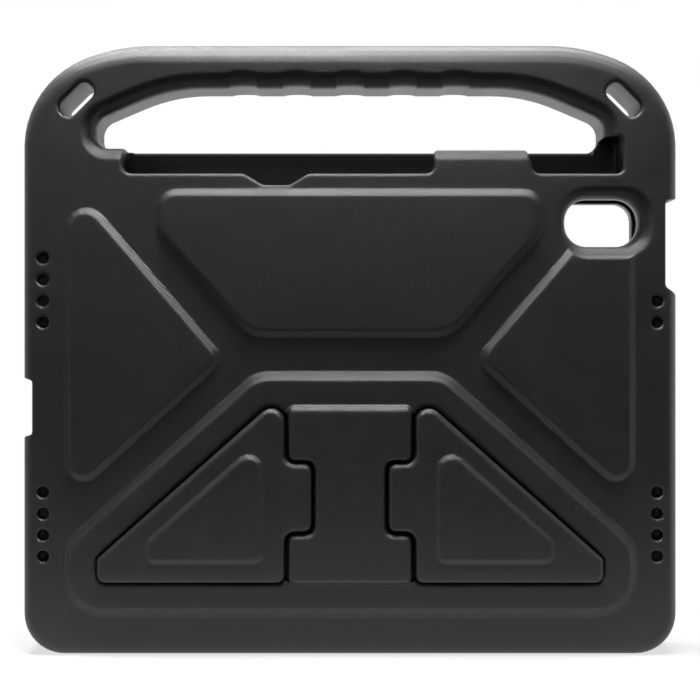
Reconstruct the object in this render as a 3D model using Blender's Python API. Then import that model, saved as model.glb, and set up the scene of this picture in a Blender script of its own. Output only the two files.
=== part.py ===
"""Children's tablet case of moulded foam, with a carry handle and a folding stand.

The case stands on its bottom edge with its back towards -Y. X runs across the case, Z up, and
"out" is the distance out of the back face, which is the plain sheet between the raised panels.
The shell is one moulding. Two triangular stand wings turn on steel pins in its centre block.
"""
import math

import bmesh
import bpy
from mathutils import Vector

# Tablet that the case holds
TABLET_LENGTH = 0.2486
TABLET_HEIGHT = 0.1795
TABLET_THICKNESS = 0.0070
TABLET_CORNER = 0.0095
TABLET_FIT = 0.00025

# Walls round the tablet
SIDE_WALL = 0.0133
BOTTOM_WALL = 0.0142
BACK_WALL = 0.0090
FRONT_LIP = 0.0072
LIP_REACH = 0.0025
LIP_FILLET = 0.0025

# Outer form
TOP_CORNER_SIDE = 0.0400
TOP_CORNER_TOP = 0.0780
TOP_CORNER_LEAN = math.radians(22)
BOTTOM_CORNER = 0.0172
EDGE_FILLET = 0.0045
GRIP_FILLET = 0.0085

# Stylus channel above the tablet
CHANNEL_DIVIDER = 0.0033
CHANNEL_COVER = 0.0045
CHANNEL_DEPTH = 0.0115
CHANNEL_LEFT = -0.0960
CHANNEL_RIGHT = 0.1150
CHANNEL_END_HEIGHT = 0.0208
CHANNEL_CORNER = 0.0020
CHANNEL_LEDGE = 0.0006
CHANNEL_LEDGE_LOW = 0.0101
CHANNEL_LEDGE_HIGH = 0.0132
COVER_HEIGHT = 0.0051
COVER_FILLET = 0.0010
COVER_LEFT_CORNER = 0.0040
COVER_RIGHT_CORNER = 0.0028
THUMB_CENTRE = -0.0310
THUMB_WIDTH = 0.0270
THUMB_FLOOR = 0.0112
THUMB_SILL = 0.0003
THUMB_CORNER = 0.0030
TAB_LEFT = 0.0354
TAB_RIGHT = 0.0745
TAB_HEIGHT = 0.0102
TAB_LEAN = 0.0030
TAB_ROOT_CORNER = 0.0033
TAB_TIP_CORNER = 0.0016
KEY_LEFT = 0.0840
KEY_RIGHT = 0.1100
KEY_WIDTH = 0.0050

# Carry handle
FRONT_RAIL = 0.0165
RAIL_FILLET = 0.0028
GRIP_GAP = 0.02525
GRIP_BAR = 0.01875
GRIP_HALF = 0.1074
GRIP_SHOULDER = 0.0760
GRIP_SHOULDER_DROP = 0.0134
GRIP_SHOULDER_BEND = 0.0700
GRIP_END_CORNER = 0.0071
GRIP_FLOOR_CORNER = 0.0050
GRIP_BACK_EDGE = 0.0065
GRIP_FRONT_EDGE = 0.0030
FINGERS = 5
FINGER_PITCH = 0.0226
FINGER_WIDTH = 0.0124
FINGER_DEPTH = 0.0010
FINGER_ROOT = 0.0004
FINGER_EDGE = 0.0068
FINGER_EDGE_ROOT = 0.0059

# Slots for a shoulder strap
STRAP_X = 0.1150
STRAP_DROP = 0.0241
STRAP_LENGTH = 0.0168
STRAP_WIDTH = 0.0076
STRAP_CORNER = 0.0035
STRAP_TURN = math.radians(45)
STRAP_FILLET = 0.0014

# Raised panels and the band that each leaves free inside the pocket's outline
PANEL_RISE = 0.0020
PANEL_SLOPE = 0.0027
SIDE_PANEL_MARGIN = 0.0060
SIDE_PANEL_TOP = 0.0058
SIDE_PANEL_TIP_X = 0.0539
SIDE_PANEL_TIP_Z = 0.1247
SIDE_PANEL_FOOT = 0.0519
SIDE_PANEL_CORNER = 0.0068
SIDE_PANEL_TOP_CORNER = 0.0078
SIDE_PANEL_TIP_CORNER = 0.0057
TOP_PANEL_HALF = 0.0803
TOP_PANEL_TOP = 0.0004
TOP_PANEL_SIDE = 0.0165
TOP_PANEL_FOOT_HALF = 0.0420
TOP_PANEL_HEIGHT = 0.0594
TOP_PANEL_CORNER = 0.0078
TOP_PANEL_FOOT_CORNER = 0.0140
# A raised form's slope: shares of its half width, outwards, and of its rise
PLAIN_SLOPE = ((1.0, 0.0), (0.75, 0.16), (-0.75, 0.90), (-1.15, 1.0))
STEPPED_SLOPE = ((1.0, 0.0), (0.72, 0.30), (-0.48, 0.68), (-0.82, 0.95), (-1.15, 1.0))

# Raised platform round the stand
PLATFORM_RISE = 0.0025
PLATFORM_SLOPE = 0.0035
PLATFORM_MARGIN = 0.0056
PLATFORM_FOOT = 0.0042
PLATFORM_SIDE = 0.0281
PLATFORM_HEIGHT = 0.0991
PLATFORM_TOP_HALF = 0.0392
PLATFORM_CORNER = 0.0150

# Centre block of the stand
BLOCK_RISE = 0.0055
BLOCK_HALF = 0.0260
BLOCK_WAIST_HALF = 0.0150
BLOCK_FOOT = 0.0165
BLOCK_HEIGHT = 0.0743
BLOCK_CORNER = 0.0032
BLOCK_EDGE = 0.0024
KNUCKLE_CENTRE = 0.0361
KNUCKLE_HEIGHT = 0.0284
KNUCKLE_GAP = 0.0010
KNUCKLE_SWEEP_GAP = 0.0007

# Stand wings
WING_GAP = 0.0006
WING_HINGE_GAP = 0.0013
WING_SEAT = 0.0003
WING_SEAT_EDGE = 0.0016
WING_THICKNESS = 0.0075
WING_FOOT = 0.0007
WING_TIP_X = 0.11645
WING_END_X = 0.1055
WING_HEIGHT = 0.07925
WING_TOP_ROUND = 0.0055
WING_END_ROUND = 0.0012
WING_HEEL_ROUND = 0.0033
WING_EDGE = 0.0020
WING_BACK_EDGE = 0.0006
WING_ROLL = 0.0060
WING_ROLL_DROP = 0.0006
WING_PAD_RISE = 0.0010
WING_PAD_INSET = 0.0086
WING_PAD_HINGE_INSET = 0.0095
WING_PAD_FOOT = 0.0091
WING_PAD_END_X = 0.0841
WING_PAD_SLOPE = 0.0020
WING_PAD_CORNER = 0.0030
WING_PAD_TOP_ROUND = 0.0054

# Hinge pins
PIN_DIAMETER = 0.0030
PIN_CLEARANCE = 0.0003
PIN_BITE = 0.0120
PIN_DEPTH = 0.0041
PIN_INSET = 0.0051
PIN_END_CHAMFER = 0.0004

# Camera window
WINDOW_X = 0.1077
WINDOW_DROP = 0.0120
WINDOW_LENGTH = 0.0311
WINDOW_HEIGHT = 0.0201
WINDOW_CORNER = 0.0093
WINDOW_SHIFT = 0.0012
WINDOW_DISH_LENGTH = 0.0400
WINDOW_DISH_HEIGHT = 0.0292
WINDOW_DISH_DEPTH = 0.0052
WINDOW_DISH_CORNER = 0.0122
WINDOW_DRAFT = 0.0007
# The dish round the window: shares of the way from its rim to the window, and of its depth
WINDOW_DISH = ((0.0, 0.0), (0.35, 0.12), (0.68, 0.38), (0.90, 0.72), (1.0, 1.0))

# Openings in the two short sides
PORT_CUT = 0.0041
PORT_HEIGHT = 0.0228
PORT_CORNER = 0.0010
PORT_HOLE = 0.0180
BUTTON_CUT = 0.0051
BUTTON_TOP = 0.0028
BUTTON_HEIGHT = 0.0390
BUTTON_CORNER = 0.0020
BUTTON_HOLE = 0.0250
BUTTON_FOOT_SLOPE = 0.0027
SIDE_HOLE_WIDTH = 0.0062
CUT_SLOPE = 0.0010

# Sound holes
SOUND_DIAMETER = 0.0048
SOUND_PITCH = 0.0090
SOUND_OFFSET = 0.0045
SOUND_DEPTH = 0.0130
SOUND_LOW = 0.0274
SOUND_HIGH = 0.1258
SOUND_DUCT_WIDTH = 0.0044
SOUND_DUCT_INSET = 0.00024
SOUND_RIM = 0.0007
SOUND_RIM_DEPTH = 0.0006
SOUND_SIDES = 14

# Finishes of the foam and of the blackened steel
FOAM_BLACK = (0.020, 0.019, 0.020)
FOAM_ROUGHNESS = 0.55
PIN_BLACK = (0.045, 0.045, 0.048)
PIN_ROUGHNESS = 0.45

# Reach of a cutter past the face that it opens
OVERCUT = 0.0020
# Least corner radius that an outline keeps when it is moved inwards
LEAST_CORNER = 0.00005

pocket_half = TABLET_LENGTH / 2 + TABLET_FIT
pocket_bottom = BOTTOM_WALL
pocket_top = pocket_bottom + TABLET_HEIGHT + 2 * TABLET_FIT
pocket_middle = (pocket_bottom + pocket_top) / 2
pocket_floor = -BACK_WALL
lip_back = pocket_floor - TABLET_THICKNESS - TABLET_FIT
front_face = lip_back - FRONT_LIP

channel_floor = pocket_top + CHANNEL_DIVIDER
cover_top = channel_floor + COVER_HEIGHT
rail_top = channel_floor + FRONT_RAIL
grip_underside = rail_top + GRIP_GAP
case_top = grip_underside + GRIP_BAR
case_half = pocket_half + SIDE_WALL

block_foot = pocket_bottom + BLOCK_FOOT
knuckle_middle = block_foot + KNUCKLE_CENTRE
wing_foot = block_foot + WING_FOOT
wing_inner = BLOCK_HALF + WING_HINGE_GAP
wing_climb = WING_HEIGHT / (WING_TIP_X - wing_inner)
wing_back = BLOCK_RISE - WING_THICKNESS
pin_x = wing_inner - PIN_INSET
pin_out = BLOCK_RISE - PIN_DEPTH
knuckle_reach = pin_x - BLOCK_WAIST_HALF - KNUCKLE_GAP

stand_face = BLOCK_RISE + WING_PAD_RISE
middle_out = (stand_face + front_face) / 2


def spot(x, out, z):
    """Point of the case in world coordinates, with the origin under the middle of the case."""
    return Vector((x, middle_out - out, z))


def outline(corners, grow=0.0, steps=6):
    """Points and outward normals of a polygon (x, z, radius), anticlockwise, moved out by grow."""
    places = [Vector((x, z)) for x, z, _ in corners]
    count = len(places)
    points = []
    normals = []
    for i, (_, _, radius) in enumerate(corners):
        here = places[i]
        before = (here - places[i - 1]).normalized()
        after = (places[(i + 1) % count] - here).normalized()
        side_before = Vector((before.y, -before.x))
        side_after = Vector((after.y, -after.x))
        corner = here + grow * (side_before + side_after) / (1 + side_before.dot(side_after))
        convex = before.x * after.y - before.y * after.x > 0
        bend = max(radius + (grow if convex else -grow), LEAST_CORNER)
        half_turn = before.angle(after) / 2
        centre = corner + (after - before).normalized() * bend / math.cos(half_turn)
        start = -side_before if not convex else side_before
        end = -side_after if not convex else side_after
        for step in range(steps + 1):
            share = step / steps
            ray = start.slerp(end, share)
            points.append(centre + ray * bend)
            normals.append(ray if convex else -ray)
    return points, normals


def loft(name, rings):
    """Closed object through rings of points, with flat caps."""
    shape = bmesh.new()
    loops = [[shape.verts.new(point) for point in ring] for ring in rings]
    count = len(loops[0])
    for low, high in zip(loops, loops[1:]):
        for i in range(count):
            j = (i + 1) % count
            shape.faces.new((low[i], low[j], high[j], high[i]))
    shape.faces.new(loops[0])
    shape.faces.new(loops[-1])
    bmesh.ops.recalc_face_normals(shape, faces=shape.faces)
    mesh = bpy.data.meshes.new(name)
    shape.to_mesh(mesh)
    shape.free()
    piece = bpy.data.objects.new(name, mesh)
    bpy.context.scene.collection.objects.link(piece)
    return piece


def slab(name, corners, profile, steps=6):
    """Solid whose outline in X and Z grows and shrinks along a profile of (grow, out) pairs."""
    rings = []
    for grow, out in profile:
        points, _ = outline(corners, grow, steps)
        rings.append([spot(point.x, out, point.y) for point in points])
    return loft(name, rings)


def rod(name, x, out, low, high, radius, chamfer=0.0, sides=24):
    """Upright round bar, or a cutter for an upright bore."""
    rings = []
    ends = ((low, chamfer), (low + chamfer, 0), (high - chamfer, 0), (high, chamfer))
    for z, inset in ends if chamfer else ((low, 0), (high, 0)):
        turns = [2 * math.pi * side / sides for side in range(sides)]
        reach = radius - inset
        rings.append([spot(x + reach * math.cos(t), out + reach * math.sin(t), z) for t in turns])
    return loft(name, rings)


def combine(body, tool, operation):
    """Applies one Boolean to the body and removes the tool."""
    change = body.modifiers.new(tool.name, "BOOLEAN")
    change.operation = operation
    change.solver = "EXACT"
    change.object = tool
    depsgraph = bpy.context.evaluated_depsgraph_get()
    result = bpy.data.meshes.new_from_object(body.evaluated_get(depsgraph))
    body.modifiers.clear()
    body.data = result
    bpy.data.objects.remove(tool)


def cut(body, tool):
    combine(body, tool, "DIFFERENCE")


def add(body, tool):
    combine(body, tool, "UNION")


def arc(first, last, steps):
    """Angles in equal steps from first to last, in degrees."""
    return [math.radians(first + (last - first) * step / steps) for step in range(steps + 1)]


def flare(radius, face, inwards, steps=4):
    """Profile of a cutter's mouth that leaves a rounded edge: from above the face to the wall."""
    angles = arc(90 / (steps + 1), 90, steps)
    pairs = [(radius - radius * math.sin(a), face - inwards * radius * (1 - math.cos(a))) for a in angles]
    grow, out = pairs[0]
    lean = 1 / math.tan(angles[0])
    return [(grow + OVERCUT * lean / 4, out + inwards * OVERCUT / 4)] + pairs


def crown(radius, face, steps=4):
    """Profile of a solid's rounded outer edge: from its side to its face."""
    return [(-radius * (1 - math.cos(a)), face - radius * (1 - math.sin(a))) for a in arc(0, 90, steps)]


def swell(width, base, rise, slope=PLAIN_SLOPE):
    """Profile of a raised form that is rooted in the sheet that it rises from."""
    half = width / 2
    return [(half, base - OVERCUT)] + [(half * across, base + rise * up) for across, up in slope]


def box_corners(left, right, low, high, radius):
    return [(left, low, radius), (right, low, radius), (right, high, radius), (left, high, radius)]


def mirrored(corners):
    """The same outline on the other side of the middle, still anticlockwise."""
    return [(-x, z, radius) for x, z, radius in reversed(corners)]


def finish(piece, colour, roughness, metallic=0.0, smooth=40):
    """Cleans the mesh and gives it its material and shading."""
    shape = bmesh.new()
    shape.from_mesh(piece.data)
    bmesh.ops.remove_doubles(shape, verts=shape.verts, dist=0.000004)
    bmesh.ops.dissolve_degenerate(shape, edges=shape.edges, dist=0.000004)
    flat = math.radians(0.05)
    bmesh.ops.dissolve_limit(shape, angle_limit=flat, verts=shape.verts, edges=shape.edges)
    bmesh.ops.triangulate(shape, faces=shape.faces)
    shape.to_mesh(piece.data)
    shape.free()
    material = bpy.data.materials.new(piece.name)
    material.use_nodes = True
    shader = material.node_tree.nodes["Principled BSDF"]
    shader.inputs["Base Color"].default_value = (*colour, 1.0)
    shader.inputs["Roughness"].default_value = roughness
    shader.inputs["Metallic"].default_value = metallic
    piece.data.materials.clear()
    piece.data.materials.append(material)
    piece.data.shade_smooth()
    piece.data.set_sharp_from_angle(angle=math.radians(smooth))


def shell_blank():
    """Outer form of the moulding: its edges are round all the way, and roundest along the handle."""
    lean = TOP_CORNER_LEAN
    side_reach = TOP_CORNER_SIDE * math.tan((math.pi / 2 - lean) / 2)
    drop = TOP_CORNER_TOP * (1 - math.cos(lean)) + side_reach * math.sin(lean)
    inset = TOP_CORNER_SIDE * (1 - math.sin(lean)) + TOP_CORNER_TOP * (math.sin(lean) - math.tan(lean / 2))
    corners = [
        (-case_half, 0.0, BOTTOM_CORNER),
        (case_half, 0.0, BOTTOM_CORNER),
        (case_half, case_top - drop, TOP_CORNER_SIDE),
        (case_half - inset, case_top, TOP_CORNER_TOP),
        (inset - case_half, case_top, TOP_CORNER_TOP),
        (-case_half, case_top - drop, TOP_CORNER_SIDE),
    ]
    points, normals = outline(corners, steps=10)
    bend = drop + side_reach
    fillets = []
    for point in points:
        share = min(max((point.y - case_top + bend) / bend, 0.0), 1.0)
        fillets.append(EDGE_FILLET + (GRIP_FILLET - EDGE_FILLET) * share)
    rings = []
    back = [(a, 0.0, 1) for a in reversed(arc(0, 90, 5))]
    front = [(a, front_face, -1) for a in arc(0, 90, 4)]
    for angle, face, sign in back + front:
        ring = []
        for point, normal, fillet in zip(points, normals, fillets):
            place = point - normal * fillet * (1 - math.cos(angle))
            ring.append(spot(place.x, face - sign * fillet * (1 - math.sin(angle)), place.y))
        rings.append(ring)
    return loft("shell", rings)


def side_panel():
    """Triangular panel on the left."""
    outer = -pocket_half + SIDE_PANEL_MARGIN
    return [
        (outer, pocket_bottom + SIDE_PANEL_FOOT, SIDE_PANEL_CORNER),
        (-SIDE_PANEL_TIP_X, SIDE_PANEL_TIP_Z, SIDE_PANEL_TIP_CORNER),
        (outer, pocket_top + SIDE_PANEL_TOP, SIDE_PANEL_TOP_CORNER),
    ]


def top_panel():
    """Wide panel under the handle, which narrows downwards."""
    top = pocket_top + TOP_PANEL_TOP
    foot = top - TOP_PANEL_HEIGHT
    corner = TOP_PANEL_CORNER
    return [
        (-TOP_PANEL_FOOT_HALF, foot, TOP_PANEL_FOOT_CORNER),
        (TOP_PANEL_FOOT_HALF, foot, TOP_PANEL_FOOT_CORNER),
        (TOP_PANEL_HALF, top - TOP_PANEL_SIDE, corner),
        (TOP_PANEL_HALF, top, corner),
        (-TOP_PANEL_HALF, top, corner),
        (-TOP_PANEL_HALF, top - TOP_PANEL_SIDE, corner),
    ]


def platform():
    """Platform that carries the stand."""
    half = pocket_half - PLATFORM_MARGIN
    foot = pocket_bottom + PLATFORM_FOOT
    top = foot + PLATFORM_HEIGHT
    corner = PLATFORM_CORNER
    return [
        (-half, foot, corner),
        (half, foot, corner),
        (half, foot + PLATFORM_SIDE, corner),
        (PLATFORM_TOP_HALF, top, corner),
        (-PLATFORM_TOP_HALF, top, corner),
        (-half, foot + PLATFORM_SIDE, corner),
    ]


def centre_block():
    """I-shaped block between the wings, with a notch for each wing's knuckle."""
    low = knuckle_middle - KNUCKLE_HEIGHT / 2 - KNUCKLE_GAP
    high = knuckle_middle + KNUCKLE_HEIGHT / 2 + KNUCKLE_GAP
    corner = BLOCK_CORNER
    half = BLOCK_HALF
    waist = BLOCK_WAIST_HALF
    top = block_foot + BLOCK_HEIGHT
    return [
        (-half, block_foot, corner),
        (half, block_foot, corner),
        (half, low, corner),
        (waist, low, corner),
        (waist, high, corner),
        (half, high, corner),
        (half, top, corner),
        (-half, top, corner),
        (-half, high, corner),
        (-waist, high, corner),
        (-waist, low, corner),
        (-half, low, corner),
    ]


def wing_corners():
    """Left wing: a triangle with a blunt tip, whose upright edge carries the knuckle."""
    low = knuckle_middle - KNUCKLE_HEIGHT / 2
    high = knuckle_middle + KNUCKLE_HEIGHT / 2
    end = -(pin_x - knuckle_reach)
    neck = BLOCK_CORNER + KNUCKLE_GAP
    return [
        (-WING_END_X, wing_foot, WING_HEEL_ROUND),
        (-wing_inner, wing_foot, WING_HEEL_ROUND),
        (-wing_inner, low, neck),
        (end, low, BLOCK_CORNER),
        (end, high, BLOCK_CORNER),
        (-wing_inner, high, neck),
        (-wing_inner, wing_foot + WING_HEIGHT, WING_TOP_ROUND),
        (-WING_END_X, wing_foot + (WING_TIP_X - WING_END_X) * wing_climb, WING_END_ROUND),
    ]


def wing_pad():
    """Raised triangle on the left wing's face, with a blunt tip."""
    left = -WING_PAD_END_X
    right = -wing_inner - WING_PAD_HINGE_INSET
    low = wing_foot + WING_PAD_FOOT
    shift = WING_PAD_INSET * math.hypot(1, wing_climb)
    return [
        (left, low, WING_PAD_CORNER),
        (right, low, WING_PAD_CORNER),
        (right, wing_foot + (WING_TIP_X + right) * wing_climb - shift, WING_PAD_TOP_ROUND),
        (left, wing_foot + (WING_TIP_X + left) * wing_climb - shift, WING_PAD_CORNER / 2),
    ]


def grip_opening():
    """Hand opening: its top slopes down to round ends."""
    shoulder = grip_underside - GRIP_SHOULDER_DROP
    return [
        (-GRIP_HALF, rail_top, GRIP_FLOOR_CORNER),
        (GRIP_HALF, rail_top, GRIP_FLOOR_CORNER),
        (GRIP_HALF, shoulder, GRIP_END_CORNER),
        (GRIP_SHOULDER, grip_underside, GRIP_SHOULDER_BEND),
        (-GRIP_SHOULDER, grip_underside, GRIP_SHOULDER_BEND),
        (-GRIP_HALF, shoulder, GRIP_END_CORNER),
    ]


def finger_scoop(centre):
    """Cutter of one finger recess, which follows the bar's underside and its round back edge."""
    rings = []
    for turn in arc(-90, 90, 6):
        fade = math.sqrt(max(math.cos(turn), 0.0))
        x = centre + FINGER_WIDTH / 2 * math.sin(turn)
        level = grip_underside - FINGER_ROOT + (FINGER_DEPTH + FINGER_ROOT) * fade
        bend = FINGER_EDGE_ROOT + (FINGER_EDGE - FINGER_EDGE_ROOT) * fade
        ring = [spot(x, OVERCUT, level - OVERCUT), spot(x, OVERCUT, level + bend + FINGER_ROOT)]
        for a in arc(10, 90, 5):
            ring.append(spot(x, -bend * (1 - math.cos(a)), level + bend * (1 - math.sin(a))))
        ring.append(spot(x, front_face - OVERCUT, level))
        ring.append(spot(x, front_face - OVERCUT, level - OVERCUT))
        rings.append(ring)
    return loft("finger", rings)


def cut_grip(shell):
    profile = flare(GRIP_BACK_EDGE, 0.0, 1, 5) + list(reversed(flare(GRIP_FRONT_EDGE, front_face, -1, 3)))
    cut(shell, slab("opening", grip_opening(), profile, steps=8))
    for finger in range(FINGERS):
        cut(shell, finger_scoop((finger - (FINGERS - 1) / 2) * FINGER_PITCH))


def cut_channel(shell):
    """Trough for a stylus, the window in its cover, and the slot over the tablet's side keys."""
    end_top = channel_floor + CHANNEL_END_HEIGHT
    trough_back = -CHANNEL_COVER
    trough_front = trough_back - CHANNEL_DEPTH
    for level, ledges in ((0, 2), (CHANNEL_LEDGE_LOW, 1), (CHANNEL_LEDGE_HIGH, 0)):
        trough = box_corners(CHANNEL_LEFT, CHANNEL_RIGHT, channel_floor + level, end_top, CHANNEL_CORNER)
        depth = [(0, trough_back), (0, trough_front + ledges * CHANNEL_LEDGE)]
        cut(shell, slab("trough", trough, depth, steps=3))
    thumb_low = channel_floor + THUMB_SILL
    tab_top = cover_top + TAB_HEIGHT
    cover = [
        (CHANNEL_LEFT, end_top, CHANNEL_CORNER),
        (CHANNEL_LEFT, cover_top, COVER_LEFT_CORNER),
        (THUMB_CENTRE - THUMB_WIDTH / 2, cover_top, THUMB_CORNER),
        (THUMB_CENTRE - THUMB_FLOOR / 2, thumb_low, THUMB_CORNER),
        (THUMB_CENTRE + THUMB_FLOOR / 2, thumb_low, THUMB_CORNER),
        (THUMB_CENTRE + THUMB_WIDTH / 2, cover_top, THUMB_CORNER),
        (TAB_LEFT, cover_top, TAB_ROOT_CORNER),
        (TAB_LEFT, tab_top, TAB_TIP_CORNER),
        (TAB_RIGHT, tab_top, TAB_TIP_CORNER),
        (TAB_RIGHT + TAB_LEAN, cover_top, TAB_ROOT_CORNER),
        (CHANNEL_RIGHT, cover_top, COVER_RIGHT_CORNER),
        (CHANNEL_RIGHT, end_top, COVER_RIGHT_CORNER),
    ]
    profile = flare(COVER_FILLET, 0.0, 1, 2) + [(0, trough_back - OVERCUT / 4)]
    cut(shell, slab("cover_window", cover, profile, steps=4))
    keys = box_corners(KEY_LEFT, KEY_RIGHT, pocket_top - OVERCUT, channel_floor + OVERCUT, LEAST_CORNER)
    middle = pocket_floor - TABLET_THICKNESS / 2
    cut(shell, slab("keys", keys, [(0, middle + KEY_WIDTH / 2), (0, middle - KEY_WIDTH / 2)], steps=1))


def cut_rail_edge(shell):
    """Rounds the inner top edge of the front rail behind the stylus channel."""
    bend = RAIL_FILLET
    inner = -CHANNEL_COVER - CHANNEL_DEPTH
    rings = []
    for x in (CHANNEL_LEFT + CHANNEL_CORNER, GRIP_HALF - CHANNEL_CORNER):
        ring = [spot(x, inner + OVERCUT, rail_top + OVERCUT), spot(x, inner + OVERCUT, rail_top - bend)]
        for a in arc(0, 80, 4):
            ring.append(spot(x, inner - bend * (1 - math.cos(a)), rail_top - bend * (1 - math.sin(a))))
        ring.append(spot(x, inner - bend, rail_top + OVERCUT))
        rings.append(ring)
    cut(shell, loft("rail_edge", rings))


def cut_pocket(shell):
    corner = TABLET_CORNER + TABLET_FIT
    pocket = box_corners(-pocket_half, pocket_half, pocket_bottom, pocket_top, corner)
    cut(shell, slab("pocket", pocket, [(0, pocket_floor), (0, lip_back)]))
    profile = [(-LIP_REACH, lip_back + OVERCUT / 2)]
    for grow, out in reversed(flare(LIP_FILLET, front_face, -1, 4)):
        profile.append((grow - LIP_REACH, out))
    cut(shell, slab("mouth", pocket, profile))


def cut_straps(shell):
    for side in (-1, 1):
        along = Vector((math.cos(STRAP_TURN), -side * math.sin(STRAP_TURN)))
        across = Vector((-along.y, along.x))
        centre = Vector((side * STRAP_X, case_top - STRAP_DROP))
        corners = []
        for u, v in ((-1, -1), (1, -1), (1, 1), (-1, 1)):
            place = centre + along * u * STRAP_LENGTH / 2 + across * v * STRAP_WIDTH / 2
            corners.append((place.x, place.y, STRAP_CORNER))
        profile = flare(STRAP_FILLET, 0.0, 1, 3) + list(reversed(flare(STRAP_FILLET, front_face, -1, 2)))
        cut(shell, slab("strap", corners, profile, steps=5))


def cut_window(shell):
    """Camera window at the foot of a dish, whose rim is steep where it cuts a raised panel."""
    middle = pocket_top - WINDOW_DROP
    hole = box_corners(
        WINDOW_X - WINDOW_LENGTH / 2 - WINDOW_SHIFT,
        WINDOW_X + WINDOW_LENGTH / 2 - WINDOW_SHIFT,
        middle - WINDOW_HEIGHT / 2,
        middle + WINDOW_HEIGHT / 2,
        WINDOW_CORNER,
    )
    dish = box_corners(
        WINDOW_X - WINDOW_DISH_LENGTH / 2,
        WINDOW_X + WINDOW_DISH_LENGTH / 2,
        middle - WINDOW_DISH_HEIGHT / 2,
        middle + WINDOW_DISH_HEIGHT / 2,
        WINDOW_DISH_CORNER,
    )
    above = PANEL_RISE + OVERCUT
    brim, _ = outline(dish, WINDOW_DRAFT * above / PANEL_RISE, steps=8)
    rim, _ = outline(dish, steps=8)
    edge, _ = outline(hole, steps=8)
    rings = [[spot(point.x, above, point.y) for point in brim]]
    for across, down in WINDOW_DISH:
        places = [outer.lerp(inner, across) for outer, inner in zip(rim, edge)]
        rings.append([spot(place.x, -WINDOW_DISH_DEPTH * down, place.y) for place in places])
    rings.append([spot(point.x, pocket_floor - OVERCUT / 2, point.y) for point in edge])
    cut(shell, loft("window", rings))


def cut_sides(shell):
    """Charging port on the left, power button on the right."""
    through = [(0, PANEL_RISE + OVERCUT), (0, front_face - OVERCUT)]
    reach = case_half + OVERCUT
    slope = CUT_SLOPE * (PORT_CUT + OVERCUT) / PORT_CUT
    floor = case_half - PORT_CUT
    low = pocket_middle - PORT_HEIGHT / 2
    high = pocket_middle + PORT_HEIGHT / 2
    port = [
        (-reach, low - slope, LEAST_CORNER),
        (-floor, low, PORT_CORNER),
        (-floor, high, PORT_CORNER),
        (-reach, high + slope, LEAST_CORNER),
    ]
    cut(shell, slab("port_cut", port, through, steps=3))
    middle = pocket_floor - TABLET_THICKNESS / 2
    across = [(0, middle + SIDE_HOLE_WIDTH / 2), (0, middle - SIDE_HOLE_WIDTH / 2)]
    low = pocket_middle - PORT_HOLE / 2
    high = pocket_middle + PORT_HOLE / 2
    hole = box_corners(-floor - OVERCUT, -pocket_half + OVERCUT, low, high, LEAST_CORNER)
    cut(shell, slab("port_hole", hole, across, steps=1))
    floor = case_half - BUTTON_CUT
    high = pocket_top - BUTTON_TOP
    low = high - BUTTON_HEIGHT
    button = [
        (floor, low + BUTTON_FOOT_SLOPE, BUTTON_CORNER),
        (reach, low - OVERCUT, LEAST_CORNER),
        (reach, high + CUT_SLOPE, LEAST_CORNER),
        (floor, high, BUTTON_CORNER),
    ]
    cut(shell, slab("button_cut", button, through, steps=4))
    middle = (low + high + BUTTON_FOOT_SLOPE) / 2
    hole = box_corners(pocket_half - OVERCUT, floor + OVERCUT, middle - BUTTON_HOLE / 2, middle + BUTTON_HOLE / 2,
                       LEAST_CORNER)
    cut(shell, slab("button_hole", hole, across, steps=1))


def cut_sound(shell):
    """Rows of sound holes, and the duct from each row to the tablet's side."""
    middle = pocket_floor - TABLET_THICKNESS / 2
    duct = [(0, middle + SOUND_DUCT_WIDTH / 2), (0, middle - SOUND_DUCT_WIDTH / 2)]
    x = pocket_half + SOUND_OFFSET
    radius = SOUND_DIAMETER / 2
    for side, start, count in ((-1, SOUND_LOW, 4), (-1, SOUND_HIGH, 4), (1, SOUND_LOW, 4), (1, SOUND_HIGH, 2)):
        low = pocket_bottom + start
        high = low + (count - 1) * SOUND_PITCH
        wide = radius - SOUND_DUCT_INSET
        edges = sorted((side * (pocket_half - OVERCUT), side * (x + wide)))
        passage = box_corners(edges[0], edges[1], low - wide, high + wide, LEAST_CORNER)
        cut(shell, slab("duct", passage, duct, steps=1))
        for hole in range(count):
            z = low + hole * SOUND_PITCH
            turns = [2 * math.pi * step / SOUND_SIDES for step in range(SOUND_SIDES)]
            rings = []
            for out, grow in ((OVERCUT / 4, SOUND_RIM), (-SOUND_RIM_DEPTH, 0), (-SOUND_DEPTH, 0)):
                reach = radius + grow
                rings.append([spot(side * x + reach * math.cos(t), out, z + reach * math.sin(t)) for t in turns])
            cut(shell, loft("sound", rings))


def cut_wing_seats(shell):
    """Recess for each wing in the platform, and the bay that the centre block stands in."""
    floor = wing_back - WING_SEAT
    mouth = flare(WING_SEAT_EDGE, PLATFORM_RISE, 1, 3)
    profile = [(grow + WING_GAP, out) for grow, out in mouth] + [(WING_GAP, floor)]
    for corners in (wing_corners(), mirrored(wing_corners())):
        cut(shell, slab("seat", corners, profile, steps=5))
    bay_top = block_foot + BLOCK_HEIGHT - BLOCK_CORNER
    bay = box_corners(-wing_inner, wing_inner, wing_foot, bay_top, LEAST_CORNER)
    cut(shell, slab("bay", bay, [(0, PLATFORM_RISE + OVERCUT), (0, floor)], steps=1))


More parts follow.
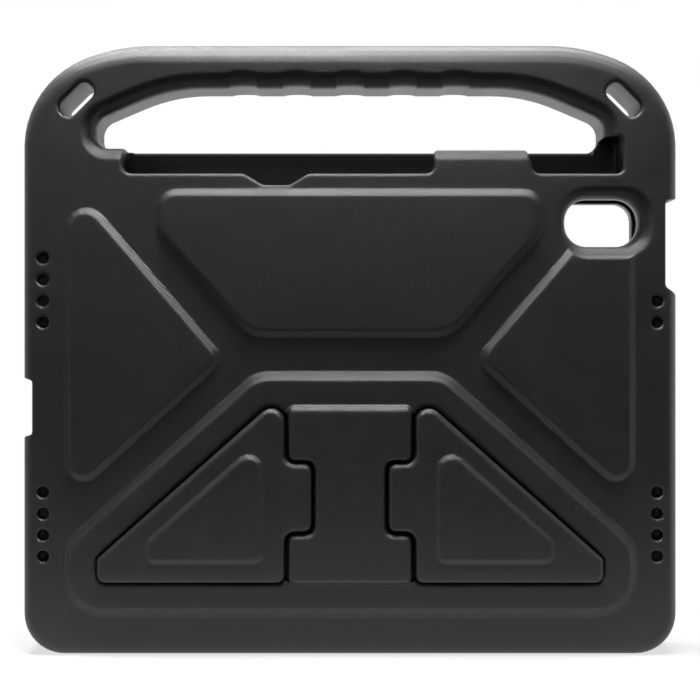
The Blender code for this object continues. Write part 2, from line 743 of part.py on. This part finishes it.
def add_centre_block(shell):
    """Centre block, the trough that each knuckle turns in, and the bores for the pins."""
    profile = [(0, wing_back - WING_SEAT - OVERCUT)] + crown(BLOCK_EDGE, BLOCK_RISE, 4)
    add(shell, slab("block", centre_block(), profile, steps=4))
    half = KNUCKLE_HEIGHT / 2 + KNUCKLE_GAP
    turn = math.hypot(knuckle_reach, PIN_CLEARANCE) + KNUCKLE_SWEEP_GAP
    bore = PIN_DIAMETER / 2 + PIN_CLEARANCE
    for side in (-1, 1):
        x = side * pin_x
        cut(shell, rod("trough", x, pin_out, knuckle_middle - half, knuckle_middle + half, turn, sides=32))
        for way in (-1, 1):
            start = knuckle_middle + way * (half - OVERCUT / 2)
            end = knuckle_middle + way * (half + PIN_BITE + PIN_CLEARANCE)
            cut(shell, rod("bore", x, pin_out, min(start, end), max(start, end), bore, sides=20))


def make_shell():
    shell = shell_blank()
    for corners in (side_panel(), mirrored(side_panel()), top_panel()):
        add(shell, slab("panel", corners, swell(PANEL_SLOPE, 0.0, PANEL_RISE)))
    add(shell, slab("platform", platform(), swell(PLATFORM_SLOPE, 0.0, PLATFORM_RISE, STEPPED_SLOPE)))
    cut_grip(shell)
    cut_channel(shell)
    cut_rail_edge(shell)
    cut_pocket(shell)
    cut_straps(shell)
    cut_window(shell)
    cut_sides(shell)
    cut_sound(shell)
    cut_wing_seats(shell)
    add_centre_block(shell)
    shell.name = "case_shell"
    finish(shell, FOAM_BLACK, FOAM_ROUGHNESS)
    return shell


def foot_roll():
    """Cutter that lets both wings' faces fall away towards their foot."""
    rings = []
    for x in (-WING_TIP_X, WING_TIP_X):
        ring = [spot(x, BLOCK_RISE + OVERCUT, wing_foot + WING_ROLL)]
        for step in range(6):
            share = step / 4
            ring.append(spot(x, BLOCK_RISE - WING_ROLL_DROP * share ** 2, wing_foot + WING_ROLL * (1 - share)))
        ring.append(spot(x, BLOCK_RISE + OVERCUT, wing_foot - WING_ROLL / 4))
        rings.append(ring)
    return loft("roll", rings)


def knuckle_round(side):
    """Cutter that rounds the back of a knuckle about its pin."""
    half = KNUCKLE_HEIGHT / 2 + OVERCUT
    beyond = pin_x - knuckle_reach - OVERCUT
    behind = wing_back - 2 * OVERCUT
    rings = []
    for z in (knuckle_middle - half, knuckle_middle + half):
        ring = []
        for a in arc(-60, 0, 6):
            reach = knuckle_reach
            ring.append(spot(side * (pin_x - reach * math.cos(a)), pin_out + reach * math.sin(a), z))
        ring.append(spot(side * beyond, pin_out, z))
        ring.append(spot(side * beyond, behind, z))
        ring.append(spot(side * (pin_x - knuckle_reach / 2), behind, z))
        rings.append(ring)
    return loft("knuckle_round", rings)


def make_wing(side, name):
    """Stand wing with its raised pad, its rounded knuckle and its bore, hung on an axis empty."""
    corners = wing_corners()
    pad = wing_pad()
    if side > 0:
        corners = mirrored(corners)
        pad = mirrored(pad)
    profile = [(-WING_BACK_EDGE, wing_back), (0, wing_back + WING_BACK_EDGE)] + crown(WING_EDGE, BLOCK_RISE, 4)
    wing = slab(name, corners, profile, steps=5)
    cut(wing, foot_roll())
    add(wing, slab("pad", pad, swell(WING_PAD_SLOPE, BLOCK_RISE, WING_PAD_RISE), steps=4))
    cut(wing, knuckle_round(side))
    bore = PIN_DIAMETER / 2 + PIN_CLEARANCE
    low = knuckle_middle - KNUCKLE_HEIGHT / 2 - OVERCUT
    high = knuckle_middle + KNUCKLE_HEIGHT / 2 + OVERCUT
    cut(wing, rod("bore", side * pin_x, pin_out, low, high, bore, sides=20))
    finish(wing, FOAM_BLACK, FOAM_ROUGHNESS)
    axis = bpy.data.objects.new(name + "_axis", None)
    axis.location = spot(side * pin_x, pin_out, knuckle_middle)
    bpy.context.scene.collection.objects.link(axis)
    for vertex in wing.data.vertices:
        vertex.co -= axis.location
    wing.parent = axis
    return wing


def make_pin(side, name):
    """Steel pin through the knuckle and into the centre block."""
    reach = KNUCKLE_HEIGHT / 2 + KNUCKLE_GAP + PIN_BITE
    low = knuckle_middle - reach
    high = knuckle_middle + reach
    pin = rod(name, side * pin_x, pin_out, low, high, PIN_DIAMETER / 2, PIN_END_CHAMFER)
    finish(pin, PIN_BLACK, PIN_ROUGHNESS, 1.0)
    return pin


for leftover in list(bpy.data.objects):
    bpy.data.objects.remove(leftover)

make_shell()
for side, word in ((-1, "left"), (1, "right")):
    make_wing(side, word + "_stand_wing")
    make_pin(side, word + "_hinge_pin")
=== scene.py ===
"""Looks of a children's tablet case of moulded foam, which stands on its bottom edge, its back in view."""

import math

import bpy
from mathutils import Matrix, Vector


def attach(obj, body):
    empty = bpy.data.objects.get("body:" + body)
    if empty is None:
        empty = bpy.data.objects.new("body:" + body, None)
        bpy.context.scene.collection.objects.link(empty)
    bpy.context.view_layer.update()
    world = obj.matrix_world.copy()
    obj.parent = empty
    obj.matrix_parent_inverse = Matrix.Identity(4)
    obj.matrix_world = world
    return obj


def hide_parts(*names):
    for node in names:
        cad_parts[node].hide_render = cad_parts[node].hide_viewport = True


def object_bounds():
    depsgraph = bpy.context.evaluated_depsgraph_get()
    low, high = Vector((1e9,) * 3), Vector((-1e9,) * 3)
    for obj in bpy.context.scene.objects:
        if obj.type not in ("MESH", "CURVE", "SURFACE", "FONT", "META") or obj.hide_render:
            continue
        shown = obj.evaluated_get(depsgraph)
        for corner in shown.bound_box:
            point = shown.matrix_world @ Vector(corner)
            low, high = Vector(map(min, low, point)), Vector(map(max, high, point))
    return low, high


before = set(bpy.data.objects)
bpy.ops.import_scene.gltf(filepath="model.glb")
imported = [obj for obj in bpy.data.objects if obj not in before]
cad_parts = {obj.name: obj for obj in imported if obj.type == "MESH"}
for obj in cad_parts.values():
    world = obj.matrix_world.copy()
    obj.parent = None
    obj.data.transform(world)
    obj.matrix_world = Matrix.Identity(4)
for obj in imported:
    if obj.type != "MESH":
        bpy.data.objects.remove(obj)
cad_low, cad_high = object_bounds()

# Case shell
# One moulding of closed-cell foam, pressed in a grained tool. It has no sharp edge anywhere, and its skin
# is matt black with a fine diamond grain, which shows most where light grazes it.
EDGE_EASE = 0.5
SHELL_CELL = 0.0005
SHELL_SOFTNESS = 3
SHELL_FACES = 190000
FOAM_COLOUR = (0.0092, 0.0076, 0.0081)
FOAM_ROUGHNESS = 0.37
FOAM_GLOSS = 0.62
GRAIN_PITCH = 0.00095
GRAIN_DEPTH = 0.00007
GRAIN_LEAN = 0.45
PORE_SIZE = 0.0003
PORE_DEPTH = 0.8
MOTTLE_SIZE = 0.014
MOTTLE_TONE = 0.18
MOTTLE_GLOSS = 0.12


class Tone:
    """A socket of a shader tree that can stand in a sum: each operation on it adds one Math node."""

    def __init__(self, tree, socket=None):
        self.tree = tree
        self.socket = socket

    def node(self, kind, settings, sockets, output=0):
        """Adds a node, its settings first and then the values or links of its sockets: gives one output."""
        made = self.tree.nodes.new("ShaderNode" + kind)
        for key, value in settings.items():
            setattr(made, key, value)
        for key, value in sockets.items():
            if isinstance(value, Tone):
                self.tree.links.new(value.socket, made.inputs[key])
            else:
                made.inputs[key].default_value = value
        return Tone(self.tree, made.outputs[output] if made.outputs else None)

    def math(self, operation, first, second):
        return self.node("Math", {"operation": operation}, {0: first, 1: second})

    def __add__(self, other):
        return self.math("ADD", self, other)

    def __sub__(self, other):
        return self.math("SUBTRACT", self, other)

    def __rsub__(self, other):
        return self.math("SUBTRACT", other, self)

    def __mul__(self, other):
        return self.math("MULTIPLY", self, other)

    __radd__ = __add__
    __rmul__ = __mul__


def moulded(node, name, cell, softness, faces, growth=0.0):
    """Copy of a CAD solid as it leaves the mould: its edges eased, and its skin moved out by the growth."""
    skin = bpy.data.objects.new(name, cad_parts[node].data.copy())
    bpy.context.scene.collection.objects.link(skin)
    cells = skin.modifiers.new("cells", "REMESH")
    cells.mode = "VOXEL"
    cells.voxel_size = cell
    ease = skin.modifiers.new("ease", "SMOOTH")
    ease.factor = EDGE_EASE
    ease.iterations = softness
    if growth:
        grow = skin.modifiers.new("grow", "DISPLACE")
        grow.strength = growth
        grow.mid_level = 0.0
    settle(skin)
    skin.data.shade_smooth()
    share = faces / (2 * len(skin.data.polygons))
    if share < 1:
        full = bpy.data.objects.new(name + "_full", skin.data.copy())
        bpy.context.scene.collection.objects.link(full)
        thin = skin.modifiers.new("thin", "DECIMATE")
        thin.ratio = share
        shading = skin.modifiers.new("shading", "DATA_TRANSFER")
        shading.object = full
        shading.use_loop_data = True
        shading.data_types_loops = {"CUSTOM_NORMAL"}
        shading.loop_mapping = "POLYINTERP_NEAREST"
        settle(skin)
        bpy.data.objects.remove(full)
    return skin


def settle(piece):
    """Applies the modifiers of a piece."""
    depsgraph = bpy.context.evaluated_depsgraph_get()
    result = bpy.data.meshes.new_from_object(piece.evaluated_get(depsgraph))
    piece.modifiers.clear()
    piece.data = result


def foam(name):
    """Matt foam with a diamond grain, small pores and a slight mottle."""
    material = bpy.data.materials.new(name)
    material.use_nodes = True
    tree = material.node_tree
    tree.nodes.clear()
    start = Tone(tree)
    place = start.node("TexCoord", {}, {}, "Object")
    x, y, z = (start.node("SeparateXYZ", {}, {"Vector": place}, axis) for axis in "XYZ")
    turn = 2 * math.pi / GRAIN_PITCH
    across = (start.math("ABSOLUTE", x, 0.0) + y * GRAIN_LEAN) * turn
    up = (z + y * GRAIN_LEAN) * turn
    diamonds = start.math("COSINE", across, 0.0) * start.math("COSINE", up, 0.0)
    pores = start.node("TexNoise", {}, {"Vector": place, "Scale": 1 / PORE_SIZE, "Detail": 2.0}, 0)
    mottle = start.node("TexNoise", {}, {"Vector": place, "Scale": 1 / MOTTLE_SIZE, "Detail": 3.0}, 0)
    relief = diamonds + pores * PORE_DEPTH
    bumped = start.node("Bump", {}, {"Strength": 1.0, "Distance": GRAIN_DEPTH, "Height": relief})
    dark = tuple(part * (1 - MOTTLE_TONE) for part in FOAM_COLOUR)
    light = tuple(part * (1 + MOTTLE_TONE) for part in FOAM_COLOUR)
    shade = start.node("Mix", {"data_type": "RGBA"}, {0: mottle, 6: (*dark, 1), 7: (*light, 1)}, 2)
    rough = mottle * MOTTLE_GLOSS + (FOAM_ROUGHNESS - MOTTLE_GLOSS / 2)
    surface = start.node(
        "BsdfPrincipled", {},
        {"Base Color": shade, "Roughness": rough, "Specular IOR Level": FOAM_GLOSS, "Normal": bumped}
    )
    start.node("OutputMaterial", {}, {"Surface": surface})
    return material


shell = moulded("case_shell", "foam_shell", SHELL_CELL, SHELL_SOFTNESS, SHELL_FACES)
shell.data.materials.clear()
shell.data.materials.append(foam("black_foam"))
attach(shell, "case")
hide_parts("case_shell")

# Stand wings
# Two triangular mouldings of the same foam, each with a knuckle that turns on a pin in the centre block.
# They lie in a recess of the platform and fold out to prop the case up.
WING_CELL = 0.0005
WING_SOFTNESS = 2
WING_GROWTH = 0.00015
WING_FACES = 60000

wing_foam = foam("wing_foam")
for side in ("left", "right"):
    wing = moulded(
        side + "_stand_wing", side + "_foam_wing", WING_CELL, WING_SOFTNESS, WING_FACES, WING_GROWTH
    )
    wing.data.materials.clear()
    wing.data.materials.append(wing_foam)
    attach(wing, side + "_wing")
    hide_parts(side + "_stand_wing")

# Hinge pins
# Blackened steel pins with turned ends, pushed into the centre block through each wing's knuckle.
PIN_COLOUR = (0.045, 0.045, 0.048)
PIN_ROUGHNESS = 0.45
TURNING_PITCH = 0.0004
TURNING_WIDTH = 0.005
TURNING_GLOSS = 0.2

pin_steel = bpy.data.materials.new("pin_steel")
pin_steel.use_nodes = True
pin_steel.node_tree.nodes.clear()
steel = Tone(pin_steel.node_tree)
spot = steel.node("TexCoord", {}, {}, "Object")
stretch = (1 / TURNING_WIDTH, 1 / TURNING_WIDTH, 1 / TURNING_PITCH)
along = steel.node("Mapping", {}, {"Vector": spot, "Scale": stretch})
rings = steel.node("TexNoise", {}, {"Vector": along, "Scale": 1.0, "Detail": 2.0}, 0)
turned = rings * TURNING_GLOSS + (PIN_ROUGHNESS - TURNING_GLOSS / 2)
surface = steel.node(
    "BsdfPrincipled", {}, {"Base Color": (*PIN_COLOUR, 1), "Metallic": 1.0, "Roughness": turned}
)
steel.node("OutputMaterial", {}, {"Surface": surface})
for side in ("left", "right"):
    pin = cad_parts[side + "_hinge_pin"]
    pin.data.materials.clear()
    pin.data.materials.append(pin_steel)

# Floor and light
# A white table top in a dim room with a white backdrop. A wide lamp hangs high above the handle, a softer one
# stands high behind the camera, and three weak ones light both sides and the rear.
TABLE_HALF_WIDTH = 0.36
TABLE_HALF_DEPTH = 0.095
TABLE_PAINT = (0.45, 0.45, 0.45)
TABLE_FACETS = 96
SHADOW_SHARE = 0.30
SHADOW_START = 0.5
TOP_LAMP_PLACE = (-0.08, -0.10, 1.40)
TOP_LAMP_SIZE = (0.9, 0.34)
TOP_LAMP_POWER = 65.0
FRONT_LAMP_PLACE = (-0.10, -0.90, 0.75)
FRONT_LAMP_SIZE = (0.8, 0.8)
FRONT_LAMP_POWER = 1.0
RIGHT_LAMP_PLACE = (0.55, 0.0, 0.16)
RIGHT_LAMP_SIZE = (0.3, 0.3)
RIGHT_LAMP_POWER = 0.6
LEFT_LAMP_PLACE = (-0.60, -0.25, 0.35)
LEFT_LAMP_SIZE = (0.3, 0.3)
LEFT_LAMP_POWER = 0.6
BACK_LAMP_PLACE = (0.0, 0.60, 0.12)
BACK_LAMP_SIZE = (0.6, 0.2)
BACK_LAMP_POWER = 0.20
LAMP_AIM = (0.0, 0.0, 0.13)
ROOM = 0.03
BACKDROP_EDGE = 0.2

bpy.ops.mesh.primitive_circle_add(radius=1.0, vertices=TABLE_FACETS, fill_type="NGON")
floor = bpy.context.object
floor.name = "floor"
floor.scale = (TABLE_HALF_WIDTH, TABLE_HALF_DEPTH, 1.0)
white = bpy.data.materials.new("floor_white")
white.use_nodes = True
white.node_tree.nodes.clear()
sweep = Tone(white.node_tree)
seen = sweep.node("LightPath", {}, {}, "Is Camera Ray")
mirrored = sweep.node("LightPath", {}, {}, "Is Glossy Ray")
passed = sweep.node("LightPath", {}, {}, "Is Transmission Ray")
direct = seen.math("MINIMUM", seen + mirrored + passed, 1.0)
paint = sweep.node("BsdfDiffuse", {}, {"Color": (*TABLE_PAINT, 1)})
glow = sweep.node("Emission", {}, {"Color": (1, 1, 1, 1), "Strength": 1.0})
spot = sweep.node("TexCoord", {}, {}, "Object")
away = sweep.node("VectorMath", {"operation": "LENGTH"}, {0: spot}, "Value")
fade = sweep.node(
    "MapRange", {"interpolation_type": "SMOOTHSTEP"},
    {"Value": away, "From Min": SHADOW_START, "From Max": 1.0, "To Min": SHADOW_SHARE,
     "To Max": 0.0}
)
both = sweep.node("MixShader", {}, {0: direct * (1 - fade), 1: paint, 2: glow})
sweep.node("OutputMaterial", {}, {"Surface": both})
floor.data.materials.append(white)

room = bpy.data.worlds.new("room")
bpy.context.scene.world = room
room.use_nodes = True
room.node_tree.nodes.clear()
air = Tone(room.node_tree)
towards = air.node("TexCoord", {}, {}, "Generated")
behind = air.node(
    "MapRange", {"interpolation_type": "SMOOTHSTEP"},
    {"Value": air.node("SeparateXYZ", {}, {"Vector": towards}, "Y"), "From Min": -BACKDROP_EDGE,
     "From Max": BACKDROP_EDGE, "To Min": ROOM, "To Max": 1.0}
)
seen = air.node("LightPath", {}, {}, "Is Camera Ray")
mirrored = air.node("LightPath", {}, {}, "Is Glossy Ray")
passed = air.node("LightPath", {}, {}, "Is Transmission Ray")
reflected = air.math("MINIMUM", mirrored + passed, 1.0)
level = (1 - reflected) * ROOM + reflected * behind
level = level * (1 - seen) + seen
light = air.node("Background", {}, {"Color": (1, 1, 1, 1), "Strength": level})
air.node("OutputWorld", {}, {"Surface": light})

for name, place, size, power in (
    ("top_lamp", TOP_LAMP_PLACE, TOP_LAMP_SIZE, TOP_LAMP_POWER),
    ("front_lamp", FRONT_LAMP_PLACE, FRONT_LAMP_SIZE, FRONT_LAMP_POWER),
    ("right_lamp", RIGHT_LAMP_PLACE, RIGHT_LAMP_SIZE, RIGHT_LAMP_POWER),
    ("left_lamp", LEFT_LAMP_PLACE, LEFT_LAMP_SIZE, LEFT_LAMP_POWER),
    ("back_lamp", BACK_LAMP_PLACE, BACK_LAMP_SIZE, BACK_LAMP_POWER),
):
    lamp = bpy.data.objects.new(name, bpy.data.lights.new(name, "AREA"))
    lamp.data.shape = "RECTANGLE"
    lamp.data.size, lamp.data.size_y = size
    lamp.data.energy = power
    lamp.location = place
    lamp.rotation_euler = (Vector(LAMP_AIM) - lamp.location).to_track_quat("-Z", "Y").to_euler()
    lamp.visible_camera = False
    bpy.context.scene.collection.objects.link(lamp)

# Camera
# It looks level at the back from half a metre, its axis near the middle of the case.
BACK_TO_STAND = 0.0065
CAMERA_DISTANCE = 0.500
CAMERA_HEIGHT = 0.1284
PIXEL = 0.00042
PICTURE = 700
SENSOR = 36.0

camera = bpy.data.objects.new("camera", bpy.data.cameras.new("camera"))
bpy.context.scene.collection.objects.link(camera)
back_plane = cad_low.y + BACK_TO_STAND
camera.location = (0.0, back_plane - CAMERA_DISTANCE, CAMERA_HEIGHT)
camera.rotation_euler = (math.radians(90), 0, 0)
camera.data.sensor_width = SENSOR
camera.data.lens = SENSOR * CAMERA_DISTANCE / (PIXEL * PICTURE)
bpy.context.scene.camera = camera
bpy.context.scene.view_settings.view_transform = "Standard"
